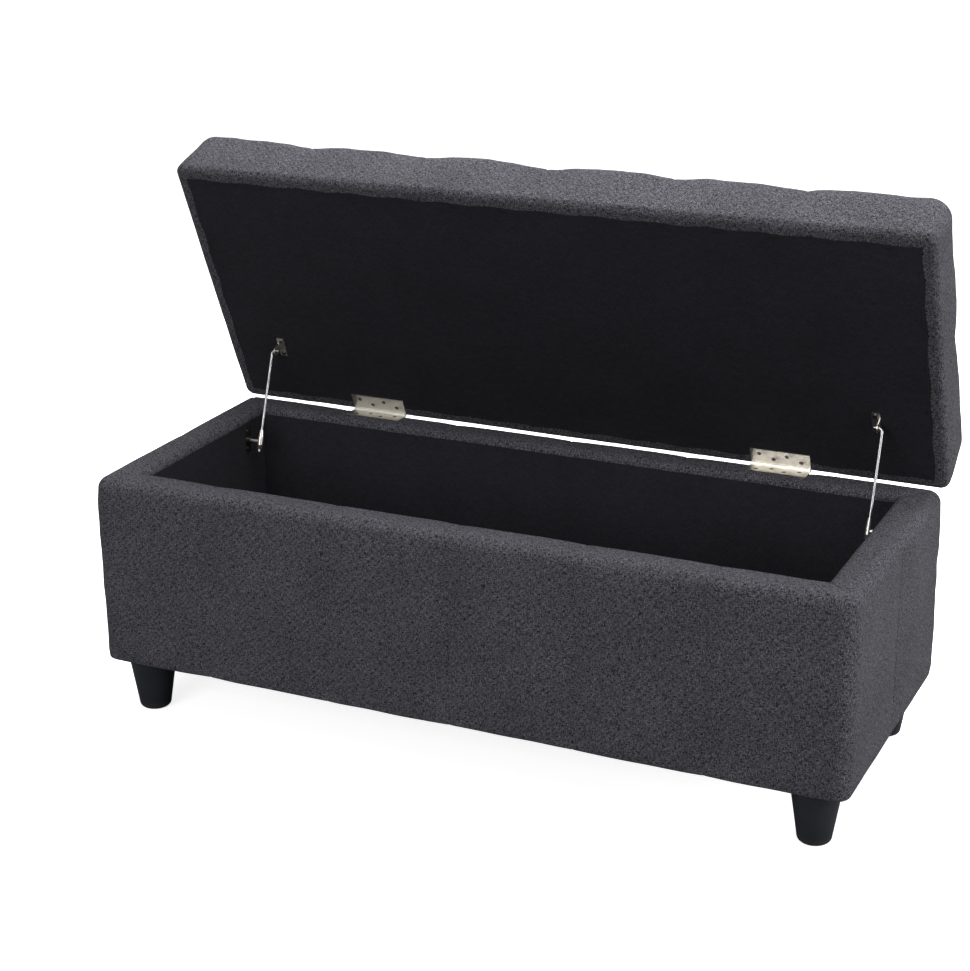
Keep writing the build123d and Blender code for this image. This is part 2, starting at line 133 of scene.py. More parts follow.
def run(start, end, spacing):
    """Points of a straight run, as (inset, height), without its first point."""
    start, end = np.array(start, float), np.array(end, float)
    count = max(1, int(round(np.linalg.norm(end - start) / spacing)))
    return [tuple(start + (end - start) * k / count) for k in range(1, count + 1)]


# ---- mesh building ----
def make_mesh(name, points, faces, corner_uv):
    """A smooth mesh object with its cloth lengths as a UV map."""
    mesh = bpy.data.meshes.new(name)
    mesh.from_pydata([tuple(p) for p in points], [], [tuple(f) for f in faces])
    layer = mesh.uv_layers.new(name="cloth")
    layer.data.foreach_set("uv", np.asarray(corner_uv, np.float32).reshape(-1))
    mesh.polygons.foreach_set("use_smooth", [True] * len(mesh.polygons))
    mesh.update()
    obj = bpy.data.objects.new(name, mesh)
    bpy.context.scene.collection.objects.link(obj)
    return obj


def sheet_faces(rows, cols, closed, first=0, flip=False):
    """Faces and row and column numbers of their corners, for a grid of points."""
    faces, marks = [], []
    for i in range(rows - 1):
        for j in range(cols if closed else cols - 1):
            k = (j + 1) % cols
            here = first + i * cols
            beyond = here + cols
            face = [here + j, here + k, beyond + k, beyond + j]
            mark = [(i, j), (i, j + 1), (i + 1, j + 1), (i + 1, j)]
            if flip:
                face.reverse()
                mark.reverse()
            faces.append(face)
            marks.append(mark)
    return faces, marks


class Ring:
    """Columns round a rectangle with rounded corners: the same columns at every inset."""

    def __init__(self, half_x, half_y, block, corner, xs, ys, leg, turn):
        self.half = (half_x, half_y)
        self.block = block
        self.corner = corner
        self.xs, self.ys = xs, ys
        self.leg, self.turn = leg, turn

    def corner_path(self, inset, corner, least):
        radius = max(corner - inset, least)
        length = max(self.block - inset - radius, 0.0)
        points, normals = [], []
        for k in range(1, self.leg + 1):
            points.append((length * k / self.leg, -(length + radius)))
            normals.append((0.0, -1.0))
        for k in range(1, self.turn):
            a = math.radians(-90 + 90 * k / self.turn)
            points.append((length + radius * math.cos(a), -length + radius * math.sin(a)))
            normals.append((math.cos(a), math.sin(a)))
        if self.leg:
            for k in range(self.leg):
                points.append((length + radius, -length * (1 - k / self.leg)))
                normals.append((1.0, 0.0))
        return np.array(points), np.array(normals)

    def at(self, inset, corner=None, least=0.0004):
        """Points and outward directions of the ring at an inset, anticlockwise from the front left."""
        corner = self.corner if corner is None else corner
        hx, hy = self.half
        b = self.block
        path, lean = self.corner_path(inset, corner, least)
        points, normals = [], []

        def side(values, fixed, along_x, normal):
            for value in values:
                points.append((value, fixed) if along_x else (fixed, value))
                normals.append(normal)

        def bend(centre, quarter):
            for p, n in zip(path, lean):
                for _ in range(quarter):
                    p, n = (-p[1], p[0]), (-n[1], n[0])
                points.append((centre[0] + p[0], centre[1] + p[1]))
                normals.append(tuple(n))

        side(self.xs, -(hy - inset), True, (0, -1))
        bend((hx - b, -(hy - b)), 0)
        side(self.ys, hx - inset, False, (1, 0))
        bend((hx - b, hy - b), 1)
        side(self.xs[::-1], hy - inset, True, (0, 1))
        bend((-(hx - b), hy - b), 2)
        side(self.ys[::-1], -(hx - inset), False, (-1, 0))
        bend((-(hx - b), -(hy - b)), 3)
        return np.array(points), np.array(normals)

    def lengths(self):
        """Distance round the outermost ring at each column, and once more at the end."""
        points, _ = self.at(0.0)
        loop = np.vstack([points, points[:1]])
        return np.concatenate([[0], np.cumsum(np.linalg.norm(np.diff(loop, axis=0), axis=1))])

    def cloth_uv(self, rows, marks, along):
        """Lengths along the cloth for each corner of each face; the cloth is cut at the ring's corners,
        so that on both sides it runs square up to the cut."""
        base = self.lengths()
        loop = np.concatenate([rows, rows[:, :1]], axis=1)
        gone = np.linalg.norm(np.diff(loop, axis=1), axis=2).cumsum(axis=1)
        gone = np.concatenate([np.zeros((len(rows), 1)), gone], axis=1)
        across = np.tile(base, (3, len(rows), 1))
        kind = np.zeros(len(base), int)
        last = -1
        for count in (len(self.xs), len(self.ys), len(self.xs), len(self.ys)):
            start = last + count
            end = start + 2 * self.leg + self.turn
            middle = (start + end) // 2
            across[1][:, start : end + 1] = base[start] + gone[:, start : end + 1] - gone[:, [start]]
            across[2][:, start : end + 1] = base[end] + gone[:, start : end + 1] - gone[:, [end]]
            kind[start:middle] = 1
            kind[middle:end] = 2
            last = end - 1
        uv = []
        for mark in marks:
            side = across[kind[min(j for _, j in mark)]]
            uv.append([(side[i, j], along[i]) for i, j in mark])
        return uv


def swept(ring, profile, corners=None):
    """Points, outward normals and lengths of a profile of (inset, height) carried round a ring."""
    profile = np.array(profile)
    step = np.gradient(profile, axis=0)
    step /= np.linalg.norm(step, axis=1)[:, None]
    along = np.concatenate([[0], np.cumsum(np.linalg.norm(np.diff(profile, axis=0), axis=1))])
    rows, normals = [], []
    corners = [None] * len(profile) if corners is None else corners
    for (inset, height), (d_inset, d_height), corner in zip(profile, step, corners):
        plan, lean = ring.at(inset, corner)
        rows.append(np.column_stack([plan, np.full(len(plan), height)]))
        # the profile runs from the inside over the top to the outside, so this turns outward
        normals.append(np.column_stack([lean * d_height * -1.0, np.full(len(plan), -d_inset)]))
    return np.array(rows), np.array(normals), along


def crease(gap, broad_depth, broad, fine_depth, fine):
    """Depth of a seam's hollow: a broad dip with a narrow one in its middle."""
    return broad_depth * np.exp(-((gap / broad) ** 2)) + fine_depth * np.exp(-np.abs(gap / fine) ** 1.5)


def nearest(values, seams):
    """Signed distance to the nearest seam."""
    gaps = np.stack([values - s for s in seams])
    return np.take_along_axis(gaps, np.abs(gaps).argmin(0)[None], 0)[0]


# ---- materials ----
def shader(name):
    """A new material with its node tree and Principled shader."""
    material = bpy.data.materials.new(name)
    material.use_nodes = True
    tree = material.node_tree
    tree.nodes.clear()
    out = tree.nodes.new("ShaderNodeOutputMaterial")
    body = tree.nodes.new("ShaderNodeBsdfPrincipled")
    tree.links.new(body.outputs["BSDF"], out.inputs["Surface"])
    return material, tree, body


def node(tree, kind, inputs=None, **settings):
    """A new shader node, its inputs linked where a socket is given and set where a value is."""
    made = tree.nodes.new(kind)
    for key, value in settings.items():
        setattr(made, key, value)
    for key, value in (inputs or {}).items():
        if isinstance(value, bpy.types.NodeSocket):
            tree.links.new(value, made.inputs[key])
        else:
            made.inputs[key].default_value = value
    return made


def maths(tree, operation, first, second=None):
    inputs = {0: first} if second is None else {0: first, 1: second}
    return node(tree, "ShaderNodeMath", inputs, operation=operation).outputs[0]


def scaled(tree, vector, size, shift=(0, 0, 0)):
    return node(
        tree, "ShaderNodeMapping", {"Vector": vector, "Scale": size, "Location": shift}
    ).outputs["Vector"]


def noise(tree, vector, detail=2.0, rough=0.5, scale=1.0):
    return node(
        tree, "ShaderNodeTexNoise", {"Vector": vector, "Scale": scale, "Detail": detail, "Roughness": rough}
    ).outputs["Fac"]


def mixed(tree, factor, first, second, blend="MIX"):
    made = node(tree, "ShaderNodeMix", data_type="RGBA", blend_type=blend)
    for socket, value in (("Factor_Float", factor), ("A_Color", first), ("B_Color", second)):
        target = next(s for s in made.inputs if s.identifier == socket)
        if isinstance(value, bpy.types.NodeSocket):
            tree.links.new(value, target)
        else:
            target.default_value = value
    return next(s for s in made.outputs if s.identifier == "Result_Color")


def shaded(tree, colour, grey):
    """The colour times a grey value."""
    level = node(tree, "ShaderNodeCombineColor", {0: grey, 1: grey, 2: grey}).outputs[0]
    return mixed(tree, 1.0, colour, level, "MULTIPLY")


def toned(colour, share):
    return [c * share for c in colour[:3]] + [1.0]


def embossed(tree, body, height, strength, distance):
    lift = node(tree, "ShaderNodeBump", {"Strength": strength, "Distance": distance, "Height": height})
    tree.links.new(lift.outputs["Normal"], body.inputs["Normal"])


def spread(tree, value, low, high, to_low=0.0, to_high=1.0):
    return node(
        tree,
        "ShaderNodeMapRange",
        {"Value": value, "From Min": low, "From Max": high, "To Min": to_low, "To Max": to_high},
    ).outputs["Result"]


def woven(name, dark, light, pitch, yarn_shade, bump, rough, sheen):
    """Twill from two yarns of uneven colour, with painted shade where the yarns dip, on the cloth's own
    lengths in metres.
    """
    material, tree, body = shader(name)
    place = node(tree, "ShaderNodeUVMap", uv_map="cloth").outputs["UV"]
    split = node(tree, "ShaderNodeSeparateXYZ", {"Vector": place})
    warped = noise(tree, scaled(tree, place, (60, 60, 60)), 2.0)
    bend_u = maths(tree, "MULTIPLY", warped, 1.6)
    bend_v = maths(tree, "MULTIPLY", warped, 1.3)
    u = maths(tree, "ADD", maths(tree, "DIVIDE", split.outputs["X"], pitch), bend_u)
    v = maths(tree, "ADD", maths(tree, "DIVIDE", split.outputs["Y"], pitch), bend_v)
    # which yarn is on top: a 2/2 twill, stepped by one yarn from pick to pick
    step = maths(tree, "ADD", maths(tree, "FLOOR", u), maths(tree, "FLOOR", v))
    over = maths(tree, "LESS_THAN", maths(tree, "FLOORED_MODULO", step, 4.0), 2.0)
    warp_round = maths(tree, "ABSOLUTE", maths(tree, "SINE", maths(tree, "MULTIPLY", u, math.pi)))
    weft_round = maths(tree, "ABSOLUTE", maths(tree, "SINE", maths(tree, "MULTIPLY", v, math.pi)))
    height = node(tree, "ShaderNodeMix", data_type="FLOAT")
    for socket, value in (("Factor_Float", over), ("A_Float", weft_round), ("B_Float", warp_round)):
        tree.links.new(value, next(s for s in height.inputs if s.identifier == socket))
    height = next(s for s in height.outputs if s.identifier == "Result_Float")
    warp_tone = noise(tree, scaled(tree, place, (620, 170, 1)), 2.0, 0.6)
    weft_tone = noise(tree, scaled(tree, place, (140, 640, 1), (3.7, 1.3, 0)), 2.0, 0.6)
    fleck = noise(tree, scaled(tree, place, (600, 600, 1)), 3.0, 0.7)
    faint_fleck = maths(tree, "MULTIPLY", fleck, 0.4)
    warp_share = spread(tree, maths(tree, "ADD", warp_tone, faint_fleck), 0.53, 0.90)
    weft_share = spread(tree, maths(tree, "ADD", weft_tone, faint_fleck), 0.55, 0.86)
    warp_colour = mixed(tree, warp_share, dark, light)
    weft_colour = mixed(tree, weft_share, dark, toned(light, 0.82))
    colour = mixed(tree, over, weft_colour, warp_colour)
    # painted shade: where each yarn's surface dips towards its neighbours, the colour is darkened by up to
    # the given share
    gap = spread(tree, height, 0.0, 0.8, 1.0 - yarn_shade, 1.0)
    clouds = maths(tree, "MULTIPLY", noise(tree, scaled(tree, place, (9, 9, 1)), 3.0, 0.55), 0.5)
    mottle = maths(tree, "MULTIPLY", noise(tree, scaled(tree, place, (70, 110, 1)), 2.0, 0.6), 0.5)
    uneven = spread(tree, maths(tree, "ADD", clouds, mottle), 0.35, 0.65, 0.86, 1.14)
    colour = shaded(tree, shaded(tree, colour, gap), uneven)
    tree.links.new(colour, body.inputs["Base Color"])
    fuzz = maths(tree, "MULTIPLY", fleck, 0.9)
    embossed(tree, body, maths(tree, "ADD", height, fuzz), bump, pitch * 0.5)
    tree.links.new(spread(tree, fleck, 0.3, 0.7, rough - 0.06, rough + 0.05), body.inputs["Roughness"])
    body.inputs["Specular IOR Level"].default_value = 0.10
    body.inputs["Sheen Weight"].default_value = sheen
    body.inputs["Sheen Roughness"].default_value = 0.45
    body.inputs["Sheen Tint"].default_value = (0.75, 0.78, 0.85, 1.0)
    return material


def metal(name, colour, rough, brushed=(30.0, 900.0, 900.0)):
    """Plated steel with fine drawn lines, smudges and small scratches."""
    material, tree, body = shader(name)
    place = node(tree, "ShaderNodeTexCoord").outputs["Object"]
    lines = noise(tree, scaled(tree, place, brushed), 2.0, 0.5)
    smudge = noise(tree, scaled(tree, place, (70, 70, 70)), 4.0, 0.6)
    tarnish = spread(tree, smudge, 0.45, 0.75, 0.0, 0.55)
    base = mixed(tree, tarnish, colour, toned(colour, 0.72))
    tree.links.new(base, body.inputs["Base Color"])
    body.inputs["Metallic"].default_value = 1.0
    uneven = maths(tree, "ADD", maths(tree, "MULTIPLY", lines, 0.12), maths(tree, "MULTIPLY", smudge, 0.16))
    tree.links.new(maths(tree, "ADD", uneven, rough - 0.13), body.inputs["Roughness"])
    embossed(tree, body, lines, 0.12, 0.0004)
    return material


def lacquer(name, colour, rough):
    """Satin black lacquer on turned wood: open grain under it, lighter in the lowest centimetre above the
    sole.
    """
    material, tree, body = shader(name)
    place = node(tree, "ShaderNodeTexCoord").outputs["Object"]
    grain = noise(tree, scaled(tree, place, (260, 260, 22)), 4.0, 0.6)
    dust = noise(tree, scaled(tree, place, (35, 35, 35)), 5.0, 0.6)
    split = node(tree, "ShaderNodeSeparateXYZ", {"Vector": place})
    above = maths(tree, "SUBTRACT", split.outputs["Z"], maths(tree, "MULTIPLY", dust, 0.010))
    # lighter towards the floor: within the lowest centimetre the colour is mixed up to about halfway towards
    # a lighter grey, with an uneven upper edge
    sole = spread(tree, above, 0.0, 0.010, 0.55, 0.0)
    base = mixed(tree, spread(tree, dust, 0.4, 0.75, 0.0, 0.35), colour, toned(colour, 1.7))
    base = mixed(tree, sole, base, (0.05, 0.047, 0.045, 1.0))
    tree.links.new(base, body.inputs["Base Color"])
    tree.links.new(spread(tree, grain, 0.3, 0.7, rough - 0.06, rough + 0.08), body.inputs["Roughness"])
    body.inputs["Specular IOR Level"].default_value = 0.16
    body.inputs["Coat Weight"].default_value = 0.02
    body.inputs["Coat Roughness"].default_value = 0.3
    embossed(tree, body, grain, 0.18, 0.0004)
    return material


def timber(name):
    """Bare pale softwood and plywood: long grain with growth bands."""
    material, tree, body = shader(name)
    place = node(tree, "ShaderNodeTexCoord").outputs["Object"]
    bent = noise(tree, scaled(tree, place, (2.2, 14, 14)), 3.0)
    bands = maths(tree, "SINE", maths(tree, "MULTIPLY", bent, 60.0))
    pores = noise(tree, scaled(tree, place, (40, 900, 900)), 3.0, 0.6)
    base = mixed(tree, spread(tree, bands, -1, 1), (0.62, 0.44, 0.25, 1.0), (0.50, 0.33, 0.17, 1.0))
    base = mixed(tree, spread(tree, pores, 0.35, 0.7, 0.0, 0.35), base, (0.33, 0.21, 0.11, 1.0))
    tree.links.new(base, body.inputs["Base Color"])
    tree.links.new(spread(tree, pores, 0.3, 0.7, 0.62, 0.78), body.inputs["Roughness"])
    embossed(tree, body, pores, 0.2, 0.0004)
    return material


def rubber(name):
    """Matt black rubber with a fine grit."""
    material, tree, body = shader(name)
    place = node(tree, "ShaderNodeTexCoord").outputs["Object"]
    grit = noise(tree, scaled(tree, place, (700, 700, 700)), 3.0)
    base = mixed(tree, grit, (0.010, 0.010, 0.010, 1), (0.028, 0.028, 0.028, 1))
    tree.links.new(base, body.inputs["Base Color"])
    tree.links.new(spread(tree, grit, 0.3, 0.7, 0.55, 0.75), body.inputs["Roughness"])
    embossed(tree, body, grit, 0.3, 0.0003)
    return material


cover_cloth = woven(
    "upholstery_weave",
    dark=(0.006, 0.006, 0.0078, 1),
    light=(0.208, 0.202, 0.232, 1),
    pitch=0.0019,
    yarn_shade=0.60,
    bump=0.8,
    rough=0.88,
    sheen=0.03,
)
lining_cloth = woven(
    "lining_weave",
    dark=(0.0150, 0.0141, 0.0180, 1),
    light=(0.032, 0.030, 0.0372, 1),
    pitch=0.0006,
    yarn_shade=0.25,
    bump=0.25,
    rough=0.80,
    sheen=0.02,
)
nickel = metal("nickel_plate", (0.78, 0.75, 0.69, 1), 0.33)
bright_rod = metal("drawn_rod", (0.50, 0.50, 0.50, 1), 0.30, (900.0, 900.0, 40.0))
dull_steel = metal("dull_steel", (0.16, 0.15, 0.135, 1), 0.38)
black_steel = metal("black_steel", (0.02, 0.02, 0.022, 1), 0.55)
foot_lacquer = lacquer("foot_lacquer", (0.0205, 0.0225, 0.0270, 1), 0.46)
bare_wood = timber("bare_timber")
black_rubber = rubber("black_rubber")


def dress(obj, material):
    obj.data.materials.clear()
    obj.data.materials.append(material)


# ---- upholstery of the box ----
low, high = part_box("box_cover")
box_mid = (low.y + high.y) / 2
half_x, half_y = (high.x - low.x) / 2, (high.y - low.y) / 2
rim = high.z
box_xs = stations(-(half_x - RIM_WIDTH), half_x - RIM_WIDTH, SEAMS)
box_ys = stations(-(half_y - RIM_WIDTH), half_y - RIM_WIDTH, (0.0,))
box_ring = Ring(half_x, half_y, RIM_WIDTH, BOX_CORNER, box_xs, box_ys, 6, 9)
profile = [(RIM_WIDTH, rim - TURN_DOWN)]
profile += run(profile[-1], (RIM_WIDTH, rim - RIM_INNER_ROUND), 0.005)
profile += arc((RIM_WIDTH - RIM_INNER_ROUND, rim - RIM_INNER_ROUND), RIM_INNER_ROUND, 0, 90, 7)
profile += run(profile[-1], (RIM_OUTER_ROUND, rim), 0.004)
profile += arc((RIM_OUTER_ROUND, rim - RIM_OUTER_ROUND), RIM_OUTER_ROUND, 90, 180, 10)
profile += run(profile[-1], (0.0, low.z + HEM_ROUND), 0.0065)
profile += arc((HEM_ROUND, low.z + HEM_ROUND), HEM_ROUND, 180, 270, 4)
profile += run(profile[-1], (HEM, low.z), 0.003)
points, normals, along = swept(box_ring, profile)
ring_normal = normals / np.maximum(np.linalg.norm(normals, axis=-1, keepdims=True), 1e-9)
px, py, pz = points[..., 0], points[..., 1], points[..., 2]
_, lean = box_ring.at(0.0)
on_long = np.abs(lean[:, 1])[None, :] ** 2
on_end = np.abs(lean[:, 0])[None, :] ** 2
wall = smooth((rim - 0.006 - pz) / 0.03) * smooth((pz - low.z) / 0.02)
outer = (np.arange(len(profile)) > RIM_ROWS)[:, None].astype(float)
over_rim = 0.45 + 0.55 * outer * smooth((rim - pz) / 0.03)
seam_gap = nearest(np.clip(px, -half_x, half_x), SEAMS)
end_gap = py - END_SEAM
pull = on_long * crease(seam_gap, 0.0017, 0.020, 0.0022, 0.0019)
pull = pull + on_end * crease(end_gap, 0.0014, 0.022, 0.0022, 0.0019)
puckers = np.exp(-((seam_gap / 0.02) ** 2)) * np.sin(pz * 420 + 3 * ripple(points, 0.08, 5)) * 0.00025
panel = 1 - np.exp(-((seam_gap / 0.045) ** 2))
panel_end = 1 - np.exp(-((end_gap / 0.05) ** 2))
swell = (on_long * panel + on_end * panel_end) * wall * outer * 0.0016
uneven = 0.0007 * ripple(points, 0.16, 11) + 0.00035 * ripple(points, 0.05, 12)
uneven = uneven + 0.00045 * ripple(points, 0.07, 13, (1, 1, 0.35)) * wall * outer
# the cloth is folded to a mitre over each corner of the rim
mitre = np.abs((half_x - np.abs(px)) - (half_y - np.abs(py)))
in_corner = smooth((RIM_WIDTH + 0.006 - np.maximum(half_x - np.abs(px), half_y - np.abs(py))) / 0.012)
fold = in_corner * np.exp(-((mitre / 0.0022) ** 2)) * 0.0010 * (1 - smooth((rim - 0.02 - pz) / 0.02))
across_rim = np.clip(np.minimum(half_x - np.abs(px), half_y - np.abs(py)) / RIM_WIDTH, 0, 1)
crown = 0.0014 * np.sin(across_rim * math.pi) * smooth((pz - (rim - 0.008)) / 0.008)
lift = swell + crown + uneven * (0.35 + 0.65 * wall) - pull * over_rim - fold - puckers * wall
faces, marks = sheet_faces(*points.shape[:2], True)
uv = box_ring.cloth_uv(points, marks, along)
hem_row = smooth((pz - low.z - 0.001) / 0.01)
points = points + ring_normal * (lift * (0.25 + 0.75 * hem_row))[..., None]
# the bottom edge rides up a little between the staples under the box
points[..., 2] += (1 - hem_row) * 0.0008 * ripple(points, 0.12, 21)
world = points.reshape(-1, 3) + np.array((0, box_mid, 0))
box_soft = make_mesh("box_upholstery", world, faces, uv)
dress(box_soft, cover_cloth)
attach(box_soft, "box")
pads = [f"{end}_{kind}" for end in ("front", "back", "left", "right") for kind in ("pad", "rim_pad")]
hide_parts("box_cover", *pads)

# ---- upholstery of the lid ----
cover_local = lid_local([v.co for v in frame["nodes"]["lid_cover"].data.vertices])
lid_low, lid_high = cover_local.min(0), cover_local.max(0)
lid_half = (lid_high - lid_low) / 2
lid_mid = (lid_high + lid_low) / 2
thick = lid_high[2] - lid_low[2]
lid_xs = stations(-(lid_half[0] - LID_BLOCK), lid_half[0] - LID_BLOCK, LID_SEAMS)
lid_ys = stations(-(lid_half[1] - LID_BLOCK), lid_half[1] - LID_BLOCK, (0.0,))
lid_ring = Ring(lid_half[0], lid_half[1], LID_BLOCK, LID_BLOCK, lid_xs, lid_ys, 3, 12)
top, bottom = lid_high[2], lid_low[2]
profile = [(LID_BLOCK, top)]
profile += run(profile[-1], (LID_TOP_ROUND, top - 0.0006), 0.003)
profile += arc((LID_TOP_ROUND, top - 0.0006 - LID_TOP_ROUND), LID_TOP_ROUND, 90, 180, 10)
profile += run(profile[-1], (0.0, bottom + LID_BOTTOM_ROUND), 0.005)
profile += arc((LID_BOTTOM_ROUND, bottom + LID_BOTTOM_ROUND), LID_BOTTOM_ROUND, 180, 270, 7)
profile += run(profile[-1], (LID_MARGIN + 0.006, bottom), 0.003)
# the corners are sharpest at the underside, where the cloth is folded, and fullest at the top
corners = [
    LID_CORNER_LOW + LID_CORNER_GROWTH * smooth((height - bottom) / (0.75 * thick)) for _, height in profile
]
ring_points, ring_normals, along = swept(lid_ring, profile, corners)
ring_normals /= np.maximum(np.linalg.norm(ring_normals, axis=-1, keepdims=True), 1e-9)
_, lean = lid_ring.at(0.0)
inner_x, inner_y = np.meshgrid(lid_xs, lid_ys)
grid_points = np.stack([inner_x, inner_y, np.full_like(inner_x, top)], -1)
grid_normals = np.zeros_like(grid_points)
grid_normals[..., 2] = 1.0


def lid_lift(points, long_share, end_share):
    """How far the lid's cloth stands out from, or is drawn into, its plain shape."""
    x, y, z = points[..., 0], points[..., 1], points[..., 2]
    height = (z - bottom) / thick
    upper = smooth((height - 0.05) / 0.85)
    on_top = smooth((z - (top - 0.020)) / 0.018)
    across = nearest(x, LID_SEAMS)
    draw_x = crease(across, 0.0050, 0.026, 0.0022, 0.0026)
    draw_y = crease(y, 0.0050, 0.026, 0.0022, 0.0026)
    knot = 0.0035 * np.exp(-(across**2 + y**2) / 0.022**2)
    inside = smooth((np.minimum(lid_half[0] - np.abs(x), lid_half[1] - np.abs(y)) - 0.015) / 0.05)
    depth = 0.5 + 0.6 * inside
    share_x = np.maximum(on_top, long_share) * depth
    share_y = np.maximum(on_top, end_share) * depth
    crown = 0.0042 * (1 - np.exp(-((across / 0.050) ** 2))) * (1 - np.exp(-((y / 0.055) ** 2)))
    belly = 0.0020 * (1 - on_top) * np.sin(np.clip(height, 0, 1) * math.pi)
    lines = np.exp(-((across / 0.03) ** 2)) * np.sin(y * 260 + 4 * ripple(points, 0.06, 31)) * 0.0004
    lines = lines + np.exp(-((y / 0.03) ** 2)) * np.sin(x * 240 + 4 * ripple(points, 0.06, 32)) * 0.0004
    uneven = 0.0012 * ripple(points, 0.17, 33) + 0.0005 * ripple(points, 0.05, 34)
    lift = crown * on_top + belly - draw_x * share_x * upper - draw_y * share_y * upper
    return lift + lines * upper - knot * on_top + uneven * (0.25 + 0.75 * upper)


long_share = np.abs(lean[:, 1])[None, :] ** 2 * np.ones((len(profile), 1))
end_share = np.abs(lean[:, 0])[None, :] ** 2 * np.ones((len(profile), 1))
rows, cols = ring_points.shape[:2]
faces, marks = sheet_faces(rows, cols, True)
uv = lid_ring.cloth_uv(ring_points, marks, -along)
ring_points = ring_points + ring_normals * lid_lift(ring_points, long_share, end_share)[..., None]
grid_points = grid_points + grid_normals * lid_lift(
    grid_points, np.zeros_like(inner_x), np.zeros_like(inner_x)
)[..., None]
grid_rows, grid_cols = inner_x.shape
more, marks = sheet_faces(grid_rows, grid_cols, False, rows * cols)
uv += [[(inner_x[i, j] + lid_half[0], inner_y[i, j]) for i, j in mark] for mark in marks]
local = np.vstack([ring_points.reshape(-1, 3), grid_points.reshape(-1, 3)])
world = lid_place(local + np.array((lid_mid[0], lid_mid[1], 0)))
lid_soft = make_mesh("lid_upholstery", world, faces + more, uv)


def merged(obj, distance):
    """Welds points that lie on each other, as at the corners where columns meet."""
    work = bmesh.new()
    work.from_mesh(obj.data)
    bmesh.ops.remove_doubles(work, verts=work.verts, dist=distance)
    bmesh.ops.recalc_face_normals(work, faces=work.faces)
    work.to_mesh(obj.data)
    work.free()
    obj.data.polygons.foreach_set("use_smooth", [True] * len(obj.data.polygons))
    obj.data.update()


merged(lid_soft, 0.0005)
merged(box_soft, 0.00002)
dress(lid_soft, cover_cloth)
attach(lid_soft, "lid")
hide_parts("lid_cover", "lid_foam")


# ---- cloth linings ----
def cloth_panel(name, origin, across, up, size, spacing, lift, body, replaced):
    """A sheet of lining cloth: origin corner, two directions, and a lift towards their normal."""
    origin, across, up = (np.array(v, float) for v in (origin, across, up))
    out = np.cross(across, up)
    cols = max(4, int(size[0] / spacing))
    rows = max(4, int(size[1] / spacing))
    s, t = np.meshgrid(np.linspace(0, size[0], cols), np.linspace(0, size[1], rows))
    flat = origin + s[..., None] * across + t[..., None] * up
    moved = flat + lift(s, t)[..., None] * out
    faces, marks = sheet_faces(rows, cols, False)
    uv = [[(s[i, j], t[i, j]) for i, j in mark] for mark in marks]
    made = make_mesh(name, moved.reshape(-1, 3), faces, uv)
    dress(made, lining_cloth)
    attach(made, body)
    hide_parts(*replaced)
    return made


def hanging(size, seed):
    """Slight puckers under a stapled top edge, fading into long soft folds lower down."""

    def lift(s, t):
        place = np.stack([s, t, np.zeros_like(s)], -1)
        down = size[1] - t
        puckers = np.sin(s * 2 * math.pi / 0.052 + 1.5 * ripple(place, 0.2, seed)) * np.exp(-down / 0.05)
        folds = ripple(place, 0.30, seed + 1, (1.0, 0.45, 1.0))
        folds = folds + 0.5 * ripple(place, 0.11, seed + 2, (1, 0.6, 1))
        edge = smooth(np.minimum(np.minimum(s, size[0] - s), t) / 0.02)
        return 0.0002 + (0.00055 * puckers + 0.0009 * folds) * edge - 0.0002 * (1 - edge)

    return lift


for name, corner, across in (
    ("front_lining", ("high", "high"), (-1, 0, 0)),
    ("back_lining", ("low", "low"), (1, 0, 0)),
    ("left_lining", ("high", "low"), (0, 1, 0)),
    ("right_lining", ("low", "high"), (0, -1, 0)),
):
    low_end, high_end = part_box(name)
    size = (high_end.x - low_end.x if across[0] else high_end.y - low_end.y, high_end.z - low_end.z)
    start = (
        {"low": low_end.x, "high": high_end.x}[corner[0]],
        {"low": low_end.y, "high": high_end.y}[corner[1]],
        low_end.z,
    )
    lift = hanging(size, 40 + len(name))
    cloth_panel(f"{name}_cloth", start, across, (0, 0, 1), size, 0.006, lift, "box", [name])

low_end, high_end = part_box("floor_lining")
size = (high_end.x - low_end.x, high_end.y - low_end.y)


def resting(s, t):
    place = np.stack([s, t, np.zeros_like(s)], -1)
    return -0.0006 + 0.0007 * ripple(place, 0.25, 61) + 0.0004 * ripple(place, 0.08, 62)


cloth_panel(
    "floor_lining_cloth",
    (low_end.x, low_end.y, high_end.z),
    (1, 0, 0),
    (0, 1, 0),
    size,
    0.008,
    resting,
    "box",
    ["floor_lining"],
)

low_end, high_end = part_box("dust_cover")
size = (high_end.x - low_end.x + 0.010, high_end.y - low_end.y + 0.010)


def stapled(s, t):
    place = np.stack([s, t, np.zeros_like(s)], -1)
    edge = np.minimum(np.minimum(s, size[0] - s), np.minimum(t, size[1] - t))
    scallop = np.exp(-edge / 0.02) * np.sin((s + t) * 2 * math.pi / 0.06)
    return 0.0002 + 0.0004 * scallop + 0.0005 * smooth(edge / 0.05) * ripple(place, 0.22, 71)


cloth_panel(
    "dust_cover_cloth",
    (low_end.x - 0.005, high_end.y + 0.005, low_end.z),
    (1, 0, 0),
    (0, -1, 0),
    size,
    0.008,
    stapled,
    "box",
    ["dust_cover"],
)

# ---- lining of the lid: folded under at its edge, stapled, and pulled a little slack ----
margin = LID_MARGIN - LINING
lining_x = stations(-(lid_half[0] - margin), lid_half[0] - margin, (), coarse=0.007)
lining_y = stations(-(lid_half[1] - margin), lid_half[1] - margin, (), coarse=0.007)
sx, sy = np.meshgrid(lining_x, lining_y)
place = np.stack([sx, sy, np.zeros_like(sx)], -1)
edge_x = lid_half[0] - margin - np.abs(sx)
edge_y = lid_half[1] - margin - np.abs(sy)
edge = np.minimum(edge_x, edge_y)
